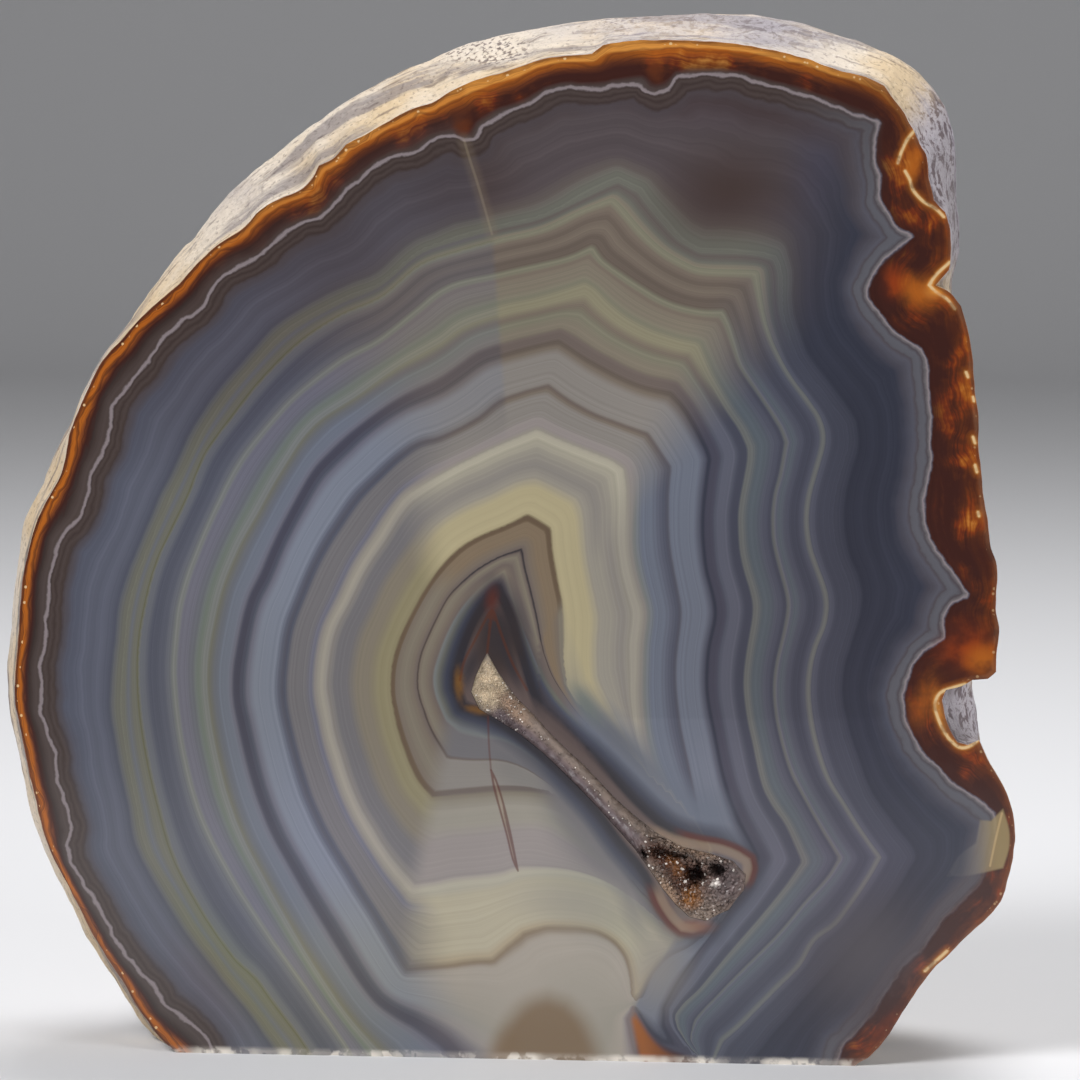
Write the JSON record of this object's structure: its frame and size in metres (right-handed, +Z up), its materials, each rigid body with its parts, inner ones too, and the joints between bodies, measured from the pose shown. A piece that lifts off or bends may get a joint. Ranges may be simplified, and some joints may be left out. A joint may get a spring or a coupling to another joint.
{
  "type": "agate geode half",
  "caption": "Standing agate half: polished banded face with a small crystal hollow, rough rounded back, and a flat sawn base to rest on.",
  "frame": {"origin": "under the middle of the stone, on the plane that its sawn base rests on", "axes": "+Z up, the polished face looks along -Y, +X to the right when looking at the face"},
  "size_m": [0.1478, 0.0606, 0.1499],
  "materials": {
    "agate": "polished banded face in slate, cream, olive and plum with an orange-brown rim, rough cream and grey skin behind",
    "quartz": "small sparkling cream and amber-brown crystals"
  },
  "bodies": {
    "root": {"agate_stone": "agate", "crystal_crust": "quartz"}
  },
  "joints": []
}
